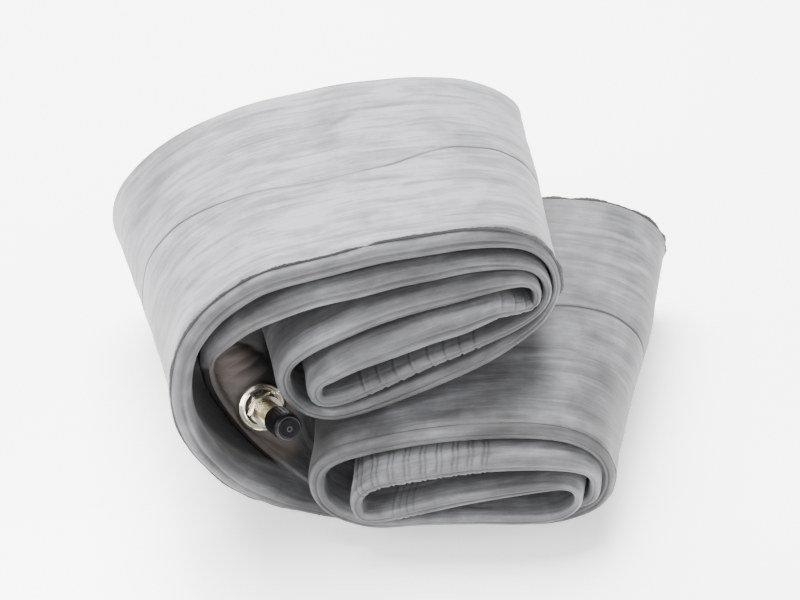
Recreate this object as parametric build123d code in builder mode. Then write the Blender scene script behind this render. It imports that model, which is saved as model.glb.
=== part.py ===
# Inner tube for a small wide tyre, emptied of air, pressed flat and folded
# into a compact bundle, with its valve fitted.
#
# Frame: origin at the bottom centre of the bundle, +Z up, the flattened
# tube's width runs along Y, and the folds turn in the XZ plane.
# The tube is one closed loop. It is modelled as a flattened strip of rubber
# (two walls and the little air between them) that follows the whole loop.
import os
from math import sqrt
from build123d import *

os.makedirs("parts", exist_ok=True)

# ---- driving dimensions, mm ------------------------------------------------
BULK = 0.88            # solid share of the rim thickness along the near edge
INNER_LIMIT = 0.70     # largest inner offset as a share of the fold's radius
STATIONS_PER_PATCH = 4
FLOOR_FIRST, FLOOR_LAST = 155, 159   # stations that lie flat on the floor

VALVE_POS = (-44.82, -41.55, 30.10)       # centre of the rim washer
VALVE_AXIS = (0.37, -0.806, 0.465)  # from the tube wall out to the cap
WALL_POINT = (-56.72, -35.95, 33.10)       # on the wall that carries the valve
WALL_NORMAL = (0.83, 0.27, 0.49)
POCKET_R = 9.0         # room in the folded wall for the washer
POCKET_FROM, POCKET_TO = -1.9, 13.5

STEM_R = 3.85          # 7.7 mm valve thread
THREAD_PITCH = 0.794   # 32 threads per inch
THREAD_DEPTH = 0.42
STEM_TOP = 28.7
STEM_FOOT = -3.6
FLANGE_R = 5.8
FLANGE_T = 1.1
BORE_R = 2.65          # upper bore, takes the core
SEAT_R = 2.05          # lower bore
WASHER_R = 8.35
NUT_AF = 10.5
NUT_FROM, NUT_TO = 2.75, 7.3
CAP_R = 4.75
CAP_FROM, CAP_TO = 18.2, 31.0
CAP_BORE_R = 4.0

# ---- the folded loop -------------------------------------------------------
# One row per station around the loop, mm:
# near edge x, y, z, thickness, far edge x, y, z, thickness
LOOP = [
    (  -65.89,   -66.34,   69.19,  8.00,  -103.15,    42.44,   47.63,  5.58),
    (  -63.58,   -65.81,   77.85,  8.00,  -100.87,    43.31,   56.19,  5.58),
    (  -60.10,   -64.60,   84.11,  8.20,   -96.23,    45.11,   62.81,  5.60),
    (  -54.92,   -62.79,   90.15,  8.40,   -89.17,    47.69,   69.31,  5.60),
    (  -48.15,   -60.38,   94.83,  8.60,   -80.00,    50.97,   74.56,  5.60),
    (  -39.66,   -57.87,   98.61,  8.60,   -68.75,    54.40,   79.18,  5.60),
    (  -28.31,   -54.69,  100.52,  8.60,   -54.45,    58.67,   83.09,  5.60),
    (  -16.35,   -51.95,  102.20,  8.60,   -39.27,    62.31,   85.88,  5.60),
    (   -4.23,   -49.95,  104.28,  8.60,   -23.57,    65.06,   88.04,  5.60),
    (    7.93,   -47.95,  105.36,  8.40,    -7.64,    67.71,   88.67,  5.60),
    (   20.18,   -45.95,  105.96,  8.20,     9.09,    70.04,   88.31,  5.60),
    (   31.32,   -43.45,  104.42,  7.50,    24.06,    72.59,   86.16,  5.25),
    (   39.65,   -40.95,  100.70,  6.00,    34.04,    75.09,   82.22,  4.26),
    (   45.79,   -38.95,   95.22,  4.40,    40.89,    77.09,   77.86,  3.20),
    (   49.71,   -37.45,   88.92,  3.40,    45.03,    78.59,   73.70,  2.54),
    (   51.80,   -36.75,   82.77,  3.10,    47.20,    79.30,   69.76,  2.35),
    (   52.11,   -36.95,   77.38,  3.10,    47.69,    79.10,   66.00,  2.35),
    (   50.17,   -38.45,   72.67,  3.40,    46.23,    77.59,   62.54,  2.54),
    (   46.84,   -40.95,   69.06,  4.40,    42.69,    75.06,   59.78,  3.20),
    (   41.25,   -43.95,   66.19,  5.40,    36.68,    72.05,   57.56,  3.86),
    (   33.46,   -47.45,   63.28,  6.40,    27.58,    68.56,   55.73,  4.52),
    (   24.39,   -50.45,   59.94,  7.00,    15.28,    65.60,   54.50,  4.92),
    (   14.77,   -52.45,   56.12,  7.20,     1.58,    63.66,   53.70,  5.05),
    (    5.12,   -53.95,   52.01,  7.20,   -11.14,    62.27,   52.85,  5.05),
    (   -4.60,   -54.95,   47.62,  7.00,   -23.07,    61.28,   51.28,  4.92),
    (  -12.75,   -55.95,   44.53,  6.40,   -32.88,    60.10,   49.31,  4.52),
    (  -19.94,   -56.45,   42.76,  5.80,   -41.78,    59.23,   46.71,  4.13),
    (  -26.41,   -56.57,   43.79,  5.20,   -50.81,    58.66,   45.08,  3.73),
    (  -31.47,   -56.38,   47.20,  5.00,   -58.77,    58.52,   45.59,  3.60),
    (  -34.50,   -56.06,   52.01,  5.00,   -64.39,    58.69,   48.00,  3.60),
    (  -35.48,   -56.12,   57.99,  5.00,   -67.34,    58.65,   52.02,  3.60),
    (  -34.11,   -56.03,   63.32,  5.60,   -66.25,    58.82,   56.32,  4.00),
    (  -30.90,   -55.84,   68.05,  7.00,   -62.13,    59.17,   60.58,  4.92),
    (  -25.73,   -55.03,   72.38,  8.20,   -55.09,    60.22,   64.73,  5.60),
    (  -18.42,   -54.45,   76.89,  9.00,   -44.96,    61.04,   68.79,  5.60),
    (   -8.74,   -53.45,   81.70,  9.40,   -31.46,    62.25,   72.41,  5.60),
    (    1.79,   -52.45,   85.63,  9.40,   -16.82,    63.42,   74.72,  5.60),
    (   11.12,   -51.45,   88.10,  9.00,    -3.93,    64.54,   75.86,  5.60),
    (   20.39,   -49.95,   89.39,  8.40,     8.89,    66.09,   76.02,  5.60),
    (   29.51,   -47.95,   89.78,  7.00,    21.44,    68.07,   75.70,  4.92),
    (   36.71,   -45.45,   88.66,  5.40,    30.64,    70.55,   74.04,  3.86),
    (   41.85,   -43.45,   86.40,  3.80,    37.01,    72.54,   72.28,  2.81),
    (   44.83,   -42.45,   82.93,  2.90,    40.38,    73.55,   69.94,  2.30),
    (   45.56,   -42.45,   79.76,  2.80,    41.37,    73.55,   67.68,  2.30),
    (   44.76,   -42.95,   77.39,  3.00,    39.89,    73.04,   65.85,  2.30),
    (   41.16,   -44.95,   77.41,  4.20,    35.66,    71.03,   65.84,  3.07),
    (   35.46,   -48.45,   80.17,  6.20,    28.69,    67.54,   68.02,  4.39),
    (   29.31,   -51.45,   81.67,  8.00,    20.81,    64.57,   69.57,  5.58),
    (   20.65,   -53.95,   79.96,  9.60,     8.98,    62.12,   69.69,  5.60),
    (   11.23,   -55.45,   77.69, 10.40,    -4.07,    60.65,   68.89,  5.60),
    (    1.98,   -56.95,   74.66, 10.60,   -17.20,    59.16,   68.04,  5.60),
    (   -7.48,   -57.95,   70.96, 10.40,   -30.23,    58.15,   66.12,  5.60),
    (  -14.77,   -58.45,   67.01,  9.60,   -40.16,    57.59,   63.47,  5.60),
    (  -20.90,   -58.45,   61.88,  8.00,   -48.20,    57.47,   59.51,  5.58),
    (  -24.56,   -57.96,   57.54,  6.00,   -52.55,    57.80,   55.86,  4.26),
    (  -25.50,   -58.02,   53.65,  5.20,   -52.90,    57.65,   52.98,  3.73),
    (  -23.86,   -57.95,   50.04,  5.20,   -49.59,    57.75,   51.04,  3.73),
    (  -19.05,   -57.45,   50.01,  6.00,   -43.02,    58.53,   52.44,  4.26),
    (  -13.23,   -56.95,   51.97,  6.00,   -35.68,    59.26,   54.55,  4.26),
    (   -5.80,   -56.45,   55.68,  5.80,   -26.48,    59.87,   56.82,  4.13),
    (    1.89,   -55.45,   59.33,  5.80,   -16.59,    60.83,   58.23,  4.13),
    (   11.43,   -53.95,   63.57,  5.60,    -3.63,    62.22,   59.36,  4.00),
    (   20.95,   -51.95,   66.68,  5.40,     9.97,    64.13,   59.80,  3.86),
    (   30.51,   -48.45,   68.70,  5.00,    23.32,    67.57,   59.79,  3.60),
    (   38.22,   -45.45,   70.75,  4.40,    32.80,    70.54,   60.85,  3.20),
    (   44.00,   -42.45,   72.46,  3.40,    39.42,    73.54,   62.12,  2.54),
    (   47.51,   -40.45,   75.13,  2.80,    43.31,    75.56,   64.20,  2.30),
    (   48.78,   -39.45,   79.45,  2.70,    44.36,    76.56,   67.44,  2.30),
    (   47.82,   -39.45,   84.22,  2.80,    43.29,    76.56,   70.82,  2.30),
    (   44.64,   -40.45,   89.43,  3.60,    39.82,    75.56,   74.39,  2.68),
    (   39.06,   -42.45,   93.82,  5.20,    33.45,    73.56,   77.61,  3.73),
    (   30.31,   -45.45,   96.96,  6.60,    22.57,    70.58,   80.71,  4.66),
    (   20.26,   -47.95,   97.73,  7.60,     8.97,    68.07,   81.92,  5.32),
    (   11.07,   -49.95,   96.98,  8.00,    -3.73,    65.93,   82.05,  5.58),
    (    1.89,   -51.45,   96.13,  8.20,   -16.16,    64.13,   81.67,  5.60),
    (   -7.18,   -53.45,   94.91,  8.20,   -28.21,    61.71,   80.50,  5.60),
    (  -16.34,   -54.95,   93.32,  8.20,   -40.17,    59.75,   78.62,  5.60),
    (  -25.53,   -56.52,   91.79,  8.20,   -52.15,    57.60,   76.26,  5.60),
    (  -34.10,   -58.03,   89.30,  8.20,   -63.37,    55.40,   73.14,  5.60),
    (  -41.86,   -59.00,   85.91,  8.00,   -73.51,    53.66,   68.89,  5.58),
    (  -48.66,   -58.91,   80.76,  7.60,   -82.37,    52.94,   63.14,  5.32),
    (  -54.58,   -57.52,   73.55,  7.00,   -89.48,    52.74,   56.12,  4.92),
    (  -58.83,   -53.93,   63.76,  4.40,   -93.43,    53.87,   48.15,  4.52),
    (  -60.54,   -50.11,   54.24,  4.40,   -94.09,    55.21,   41.35,  4.00),
    (  -59.78,   -46.85,   44.10,  4.40,   -91.36,    56.80,   34.52,  3.86),
    (  -57.41,   -44.84,   35.10,  4.40,   -86.98,    57.99,   27.65,  3.86),
    (  -53.73,   -44.55,   27.35,  4.40,   -80.12,    58.36,   21.39,  3.86),
    (  -48.82,   -45.98,   20.80,  4.40,   -71.43,    57.83,   17.07,  3.86),
    (  -42.85,   -49.44,   16.72,  4.40,   -61.26,    56.38,   15.27,  3.86),
    (  -32.83,   -54.07,   10.84,  4.40,   -42.43,    54.75,   12.99,  3.60),
    (  -25.21,   -58.65,    8.42,  4.40,   -29.78,    52.54,   10.66,  3.20),
    (  -16.15,   -61.81,    6.31,  3.80,   -16.43,    50.57,    7.50,  2.81),
    (   -6.11,   -63.84,    5.91,  3.50,    -2.60,    49.18,    6.37,  2.61),
    (    9.87,   -64.84,    5.85,  3.50,    19.37,    48.22,    6.21,  2.61),
    (   27.88,   -65.64,    5.92,  3.50,    43.74,    47.39,    6.24,  2.61),
    (   43.89,   -66.45,    6.80,  3.70,    65.06,    46.57,    7.76,  2.74),
    (   55.62,   -67.84,   10.83,  4.00,    80.86,    45.17,   13.26,  2.94),
    (   63.99,   -69.84,   16.14,  4.20,    92.81,    43.17,   19.68,  3.07),
    (   65.57,   -70.34,   22.11,  4.00,    95.17,    42.66,   26.35,  2.94),
    (   64.73,   -70.84,   27.78,  4.20,    94.41,    42.16,   32.66,  3.07),
    (   61.26,   -71.84,   32.22,  5.00,    90.08,    41.15,   38.14,  3.60),
    (   55.76,   -72.84,   35.41,  6.00,    82.00,    40.15,   42.30,  4.26),
    (   47.83,   -73.65,   37.48,  6.60,    70.45,    39.34,   44.46,  4.66),
    (   39.32,   -74.15,   38.06,  6.80,    58.80,    38.84,   44.33,  4.79),
    (   29.96,   -74.65,   37.83,  6.80,    46.29,    38.38,   43.02,  4.79),
    (   20.40,   -75.15,   36.90,  6.80,    34.07,    37.98,   41.38,  4.79),
    (   10.84,   -75.65,   35.47,  6.60,    22.07,    37.67,   39.59,  4.66),
    (    1.92,   -76.15,   33.63,  6.40,    10.95,    37.36,   37.62,  4.52),
    (   -4.84,   -76.65,   31.68,  5.60,     2.62,    36.99,   35.35,  4.00),
    (   -9.36,   -76.84,   28.63,  4.80,    -3.09,    36.83,   32.01,  3.47),
    (  -11.83,   -77.15,   25.19,  4.30,    -6.45,    36.49,   28.20,  3.14),
    (  -12.32,   -77.45,   21.24,  4.20,    -7.65,    36.08,   23.77,  3.07),
    (  -10.99,   -77.84,   17.43,  4.20,    -6.72,    35.54,   19.40,  3.07),
    (   -7.79,   -78.24,   16.59,  4.40,    -2.80,    35.06,   17.61,  3.20),
    (   -2.20,   -78.45,   17.87,  5.00,     4.66,    34.87,   18.91,  3.60),
    (    4.47,   -78.45,   20.26,  5.60,    13.42,    34.87,   22.51,  4.00),
    (   13.51,   -78.24,   23.31,  6.00,    25.22,    34.98,   25.97,  4.26),
    (   23.77,   -77.84,   26.14,  6.00,    38.50,    35.26,   29.22,  4.26),
    (   34.02,   -77.34,   27.99,  5.80,    51.87,    35.68,   31.58,  4.13),
    (   43.66,   -76.65,   28.88,  5.20,    64.72,    36.35,   32.98,  3.73),
    (   51.09,   -76.04,   29.03,  4.20,    74.93,    36.95,   33.45,  3.07),
    (   56.03,   -75.65,   27.90,  3.20,    81.88,    37.36,   32.35,  2.41),
    (   59.17,   -75.45,   25.00,  2.70,    86.30,    37.56,   29.21,  2.30),
    (   60.22,   -75.45,   20.96,  2.70,    87.72,    37.57,   24.71,  2.30),
    (   58.66,   -75.65,   17.47,  3.20,    85.87,    37.37,   20.24,  2.41),
    (   54.20,   -76.25,   15.24,  4.20,    79.42,    36.78,   17.68,  3.07),
    (   47.08,   -76.64,   14.47,  4.80,    69.55,    36.38,   16.64,  3.47),
    (   37.89,   -77.05,   14.53,  5.00,    57.18,    35.99,   16.45,  3.60),
    (   27.40,   -77.25,   14.75,  5.00,    43.29,    35.83,   16.54,  3.60),
    (   17.58,   -77.44,   14.83,  5.00,    30.31,    35.69,   16.55,  3.60),
    (    7.81,   -77.25,   14.20,  5.00,    17.29,    35.96,   15.91,  3.60),
    (   -0.52,   -76.84,   12.74,  5.00,     6.02,    36.40,   15.11,  3.60),
    (   -8.13,   -75.45,   11.44,  5.00,    -4.17,    37.78,   13.64,  3.60),
    (  -14.98,   -73.45,   11.92,  5.20,   -13.12,    39.72,   13.25,  3.73),
    (  -19.87,   -72.05,   13.77,  5.40,   -18.96,    41.19,   15.18,  3.86),
    (  -23.52,   -70.25,   16.47,  5.60,   -22.51,    43.16,   18.37,  4.00),
    (  -25.32,   -68.64,   20.76,  5.60,   -23.37,    45.02,   23.30,  4.00),
    (  -25.03,   -67.45,   25.67,  5.80,   -22.02,    46.42,   28.87,  4.13),
    (  -22.55,   -66.84,   30.21,  6.20,   -18.51,    47.12,   33.94,  4.39),
    (  -17.89,   -66.84,   34.12,  6.60,   -12.73,    47.12,   38.24,  4.66),
    (  -11.03,   -66.84,   37.16,  6.80,    -4.49,    47.02,   41.52,  4.79),
    (   -2.65,   -66.84,   39.70,  6.80,     5.71,    46.83,   44.05,  4.79),
    (    6.67,   -66.84,   41.87,  6.80,    17.15,    46.60,   46.39,  4.79),
    (   16.26,   -66.84,   43.61,  6.80,    29.04,    46.37,   48.26,  4.79),
    (   25.81,   -66.84,   44.74,  6.80,    41.13,    46.21,   49.57,  4.79),
    (   35.43,   -66.84,   45.25,  6.80,    53.54,    46.16,   50.19,  4.79),
    (   45.20,   -66.84,   45.00,  6.80,    66.29,    46.15,   50.12,  4.79),
    (   54.21,   -66.84,   43.31,  6.40,    78.38,    46.15,   48.53,  4.52),
    (   62.06,   -66.84,   39.36,  5.80,    89.59,    46.16,   44.47,  4.13),
    (   67.50,   -66.84,   33.75,  5.20,    97.70,    46.16,   38.80,  3.73),
    (   70.22,   -66.84,   27.70,  5.00,   101.63,    46.16,   32.71,  3.60),
    (   70.83,   -66.84,   21.71,  5.00,   102.36,    46.16,   26.29,  3.60),
    (   69.56,   -66.84,   15.13,  5.20,   100.11,    46.16,   19.00,  3.73),
    (   65.62,   -66.84,    9.69,  5.60,    94.76,    46.16,   12.38,  4.00),
    (   58.88,   -66.64,    5.20,  5.00,    85.47,    46.36,    6.52,  3.60),
    (   49.88,   -66.55,    2.40,  4.20,    72.96,    46.45,    1.90,  3.80),
    (   37.88,   -66.45,    1.90,  3.80,    56.84,    46.54,    1.90,  3.80),
    (   21.89,   -66.25,    1.90,  3.80,    35.52,    46.76,    1.90,  3.80),
    (    5.88,   -65.84,    1.90,  3.80,    13.42,    47.15,    1.90,  3.80),
    (   -8.12,   -65.05,    1.90,  3.80,    -6.17,    47.83,    1.90,  3.80),
    (  -17.12,   -64.25,    2.67,  4.20,   -19.03,    48.44,    2.68,  3.07),
    (  -26.19,   -63.84,    5.07,  5.00,   -32.06,    48.63,    4.27,  3.60),
    (  -35.27,   -64.45,    9.48,  6.40,   -45.84,    47.42,    5.19,  4.52),
    (  -45.12,   -65.64,   16.18,  7.60,   -62.62,    45.14,    5.64,  5.32),
    (  -53.12,   -66.64,   23.58,  8.00,   -75.37,    43.72,    9.87,  5.58),
    (  -60.70,   -66.84,   34.46,  8.00,   -87.95,    42.90,   18.63,  5.58),
    (  -65.30,   -66.84,   46.82,  8.00,   -97.15,    42.23,   28.57,  5.58),
    (  -66.89,   -66.84,   58.44,  8.00,  -102.08,    41.90,   38.17,  5.58),
]
COUNT = len(LOOP)


def row(i):
    return LOOP[i % COUNT]


def near_pt(i):
    return Vector(*row(i)[0:3])


def far_pt(i):
    return Vector(*row(i)[4:7])


def bend(i, side):
    """Unit tangent, unit normal and signed curvature in the fold plane."""
    get = near_pt if side == 0 else far_pt
    a, b, c = get(i - 1), get(i), get(i + 1)
    t = Vector(c.X - a.X, 0, c.Z - a.Z)
    t = t / t.length
    n = Vector(-t.Z, 0, t.X)
    u, v = b - a, c - b
    lu, lv = sqrt(u.X**2 + u.Z**2), sqrt(v.X**2 + v.Z**2)
    cross = (u.X * v.Z - u.Z * v.X) / (lu * lv)
    k = 2 * cross / (lu + lv)
    return t, n, k


def rail_point(i, side, sign):
    """Corner of the strip's section: side 0 near or 1 far, sign +1 or -1."""
    t, n, k = bend(i, side)
    thick = row(i)[3] * BULK if side == 0 else row(i)[7] * 0.94
    half = thick / 2
    if k * sign > 1e-4:
        half = min(half, INNER_LIMIT / abs(k))
    width = far_pt(i) - near_pt(i)
    width = width / width.length
    end = near_pt(i) - width * 1.6 if side == 0 else far_pt(i) + width * 0.8
    p = end + n * (half * sign)
    if FLOOR_FIRST <= i % COUNT <= FLOOR_LAST:
        outer = p.Z < end.Z
        p = Vector(end.X, end.Y, 0.0 if outer else 2 * end.Z * 0.93)
    return p


rails = {(s, g): [rail_point(i, s, g) for i in range(COUNT)]
         for s in (0, 1) for g in (1, -1)}


def rail_tangent(pts, i):
    if FLOOR_FIRST <= i % COUNT <= FLOOR_LAST:
        a, b = pts[FLOOR_FIRST], pts[FLOOR_LAST]
        d = b - a
        return Vector(d.X, d.Y, 0) / d.length
    d = pts[(i + 1) % COUNT] - pts[(i - 1) % COUNT]
    return d / d.length


# patch borders around the loop, with the flat floor stretch as its own patch
borders = [FLOOR_FIRST, FLOOR_LAST]
i = FLOOR_LAST
while i + STATIONS_PER_PATCH < FLOOR_FIRST + COUNT - 1:
    i += STATIONS_PER_PATCH
    if i < FLOOR_FIRST + COUNT - 1:
        borders.append(i)
borders.append(FLOOR_FIRST + COUNT)


def rail_edge(key, a, b):
    pts = rails[key]
    run = [pts[j % COUNT] for j in range(a, b + 1)]
    if a == FLOOR_FIRST:
        return Edge.make_line(run[0], run[-1])
    return Edge.make_spline(run, tangents=[rail_tangent(pts, a), rail_tangent(pts, b)])


skin = []
for a, b in zip(borders[:-1], borders[1:]):
    no, ni = rail_edge((0, 1), a, b), rail_edge((0, -1), a, b)
    fo, fi = rail_edge((1, 1), a, b), rail_edge((1, -1), a, b)
    if a == FLOOR_FIRST:
        skin.append(Face(Wire([no, Edge.make_line(no @ 1, fo @ 1), fo, Edge.make_line(no @ 0, fo @ 0)])))
    else:
        skin.append(Face.make_surface_from_curves(no, fo))
    skin.append(Face.make_surface_from_curves(ni, fi))
    skin.append(Face.make_surface_from_curves(no, ni))
    skin.append(Face.make_surface_from_curves(fo, fi))
strip = Solid(Shell(skin))

# ---- valve planes ----------------------------------------------------------
AX = Vector(*VALVE_AXIS)
AX = AX / AX.length
VP = Vector(*VALVE_POS)
RAD = Vector(-AX.Y, AX.X, 0)
RAD = RAD / RAD.length
ACROSS = Plane(origin=VP, x_dir=RAD, z_dir=AX)              # square to the valve
ALONG = Plane(origin=VP, x_dir=RAD, z_dir=RAD.cross(AX))    # x radial, y along it
SPIN = Axis(VP, AX)

with BuildPart() as tube_body:
    add(strip)
    # the wall dips around the rim washer
    with BuildSketch(ACROSS.offset(POCKET_FROM)):
        Circle(POCKET_R)
    extrude(amount=POCKET_TO - POCKET_FROM, mode=Mode.SUBTRACT)

with BuildPart() as valve_base_patch:
    # moulded rubber boss between the tube wall and the washer
    with BuildSketch(ALONG):
        with BuildLine():
            Polyline((0, -13.5), (10.6, -13.5), (10.2, -8.5), (8.3, -4.2), (7.6, -2.6),
                     (6.8, -1.65), (6.2, -0.85), (4.95, 0.85), (STEM_R + 0.06, 1.05), (STEM_R + 0.06, STEM_FOOT + FLANGE_T + 0.05),
                     (FLANGE_R + 0.05, STEM_FOOT + FLANGE_T + 0.05),
                     (FLANGE_R + 0.05, STEM_FOOT - 0.05), (0, STEM_FOOT - 0.05), close=True)
        make_face()
    revolve(axis=SPIN)
    split(bisect_by=Plane(origin=Vector(*WALL_POINT), z_dir=Vector(*WALL_NORMAL)), keep=Keep.TOP)

with BuildPart() as valve_stem:
    turns = int((STEM_TOP - 2.6) / THREAD_PITCH)
    outline = [(SEAT_R, STEM_FOOT), (FLANGE_R, STEM_FOOT), (FLANGE_R, STEM_FOOT + FLANGE_T),
               (STEM_R, STEM_FOOT + FLANGE_T)]
    z = 1.3
    for k in range(turns):
        outline += [(STEM_R, z + 0.10), (STEM_R - THREAD_DEPTH, z + THREAD_PITCH * 0.5),
                    (STEM_R, z + THREAD_PITCH - 0.10)]
        z += THREAD_PITCH
    outline += [(STEM_R, STEM_TOP - 0.45), (STEM_R - 0.45, STEM_TOP), (BORE_R + 0.15, STEM_TOP),
                (BORE_R, STEM_TOP - 0.15), (BORE_R, 21.2), (SEAT_R, 19.9)]
    with BuildSketch(ALONG):
        with BuildLine():
            Polyline(*outline, close=True)
        make_face()
    revolve(axis=SPIN)

with BuildPart() as rim_washer:
    # dished ring with a rolled rim and a raised collar under the nut
    with BuildSketch(ALONG):
        with BuildLine():
            Polyline((STEM_R + 0.25, 1.45), (5.3, 1.2), (6.7, -0.55), (7.2, -1.15), (7.9, -1.25),
                     (8.3, -0.75), (WASHER_R, 0.1), (8.2, 0.75), (7.75, 0.95), (7.5, 0.55),
                     (7.35, 0.25), (6.9, 0.45), (5.75, 2.35), (5.35, 2.65), (STEM_R + 0.25, 2.7),
                     close=True)
        make_face()
    revolve(axis=SPIN)

with BuildPart() as rim_nut:
    with BuildSketch(ACROSS.offset(NUT_FROM)):
        RegularPolygon(radius=NUT_AF / 2, side_count=6, major_radius=False)
        Circle(STEM_R + 0.06, mode=Mode.SUBTRACT)
    extrude(amount=NUT_TO - NUT_FROM)
    # turned corners on the outer face
    with BuildSketch(ALONG):
        with BuildLine():
            Polyline((5.15, NUT_TO + 0.1), (6.6, NUT_TO + 0.1), (6.6, NUT_TO - 0.75), close=True)
        make_face()
    revolve(axis=SPIN, mode=Mode.SUBTRACT)

with BuildPart() as valve_cap:
    with BuildSketch(ALONG):
        with BuildLine():
            Polyline((CAP_BORE_R, CAP_FROM), (4.45, CAP_FROM), (CAP_R, CAP_FROM + 0.35),
                     (CAP_R, 27.6), (4.5, 29.2), (3.6, 30.35), (3.1, 30.6), (3.0, 30.95),
                     (2.7, CAP_TO), (0, CAP_TO), (0, 29.9), (3.2, 29.9),
                     (CAP_BORE_R, 29.5), close=True)
        make_face()
    revolve(axis=SPIN)
    # grip grooves
    with BuildSketch(ACROSS.offset(CAP_FROM + 1.1)):
        with PolarLocations(CAP_R + 0.12, 24):
            Circle(0.36)
    extrude(amount=7.6, mode=Mode.SUBTRACT)

with BuildPart() as cap_seal:
    with BuildSketch(ACROSS.offset(STEM_TOP + 0.25)):
        Circle(3.15)
        Circle(1.3, mode=Mode.SUBTRACT)
    extrude(amount=0.85)

with BuildPart() as core_plug:
    with BuildSketch(ALONG):
        with BuildLine():
            Polyline((0.85, 23.9), (BORE_R - 0.05, 23.9), (BORE_R - 0.05, 27.3), (1.6, 27.3),
                     (1.6, 28.1), (0.85, 28.1), close=True)
        make_face()
    revolve(axis=SPIN)
    # flats for the core key
    with BuildSketch(ACROSS.offset(26.2)):
        with Locations((2.35, 0), (-2.35, 0)):
            Rectangle(1.0, 6)
    extrude(amount=2.0, mode=Mode.SUBTRACT)

with BuildPart() as core_barrel:
    with BuildSketch(ALONG):
        with BuildLine():
            Polyline((0.62, 11.0), (1.95, 11.0), (1.95, 19.2), (1.65, 19.6), (1.65, 22.9),
                     (2.3, 23.3), (2.3, 23.9), (0.62, 23.9), (0.62, 20.0), (1.45, 20.0),
                     (1.45, 11.6), (0.62, 11.6), close=True)
        make_face()
    revolve(axis=SPIN)

with BuildPart() as core_gasket:
    with BuildSketch(ALONG):
        with BuildLine():
            Polyline((1.65, 20.2), (2.05, 20.2), (2.6, 21.4), (2.6, 22.3), (1.65, 22.7), close=True)
        make_face()
    revolve(axis=SPIN)

with BuildPart() as core_pin:
    # long pin with the spring collar and the seat for the cup seal
    with BuildSketch(ALONG):
        with BuildLine():
            Polyline((0, 9.0), (0.55, 9.0), (0.55, 18.6), (1.3, 18.6), (1.3, 19.0), (0.55, 19.0),
                     (0.55, 27.6), (0.75, 27.6), (0.75, 28.35), (0, 28.35), close=True)
        make_face()
    revolve(axis=SPIN)

with BuildPart() as core_cup_seal:
    with BuildSketch(ALONG):
        with BuildLine():
            Polyline((0.55, 9.0), (1.6, 9.0), (1.85, 9.5), (1.85, 10.95), (1.3, 10.95), (1.3, 10.3),
                     (0.55, 10.3), close=True)
        make_face()
    revolve(axis=SPIN)

with BuildPart() as core_spring:
    # coil between the barrel's floor and the pin's collar
    with BuildLine() as coil:
        Helix(pitch=1.05, height=6.4, radius=1.02, center=VP + AX * 11.9, direction=AX)
    with BuildSketch(Plane(origin=coil.line @ 0, z_dir=coil.line % 0)):
        Circle(0.15)
    sweep(path=coil.line)

for name, made in (("tube_body", tube_body), ("valve_base_patch", valve_base_patch),
                   ("valve_stem", valve_stem), ("rim_washer", rim_washer), ("rim_nut", rim_nut),
                   ("valve_cap", valve_cap), ("cap_seal", cap_seal), ("core_plug", core_plug),
                   ("core_barrel", core_barrel), ("core_gasket", core_gasket),
                   ("core_pin", core_pin), ("core_cup_seal", core_cup_seal),
                   ("core_spring", core_spring)):
    made.part.label = name
    export_step(made.part, "parts/" + name + ".step")
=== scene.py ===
import math
import random

import bpy
import numpy as np
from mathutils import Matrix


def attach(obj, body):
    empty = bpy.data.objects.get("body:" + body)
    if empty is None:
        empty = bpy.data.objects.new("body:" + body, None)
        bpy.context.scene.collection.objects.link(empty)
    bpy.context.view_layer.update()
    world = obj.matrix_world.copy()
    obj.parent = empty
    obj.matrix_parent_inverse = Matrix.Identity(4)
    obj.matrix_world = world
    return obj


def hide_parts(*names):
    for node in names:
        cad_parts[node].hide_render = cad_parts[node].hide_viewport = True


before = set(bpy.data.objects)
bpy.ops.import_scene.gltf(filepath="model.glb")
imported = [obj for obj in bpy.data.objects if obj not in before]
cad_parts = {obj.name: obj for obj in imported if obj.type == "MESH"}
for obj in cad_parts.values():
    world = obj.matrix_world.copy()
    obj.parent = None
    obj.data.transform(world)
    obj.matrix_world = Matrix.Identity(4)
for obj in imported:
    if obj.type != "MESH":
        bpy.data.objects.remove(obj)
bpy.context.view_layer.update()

random.seed(7)
MM = 0.001

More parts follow.
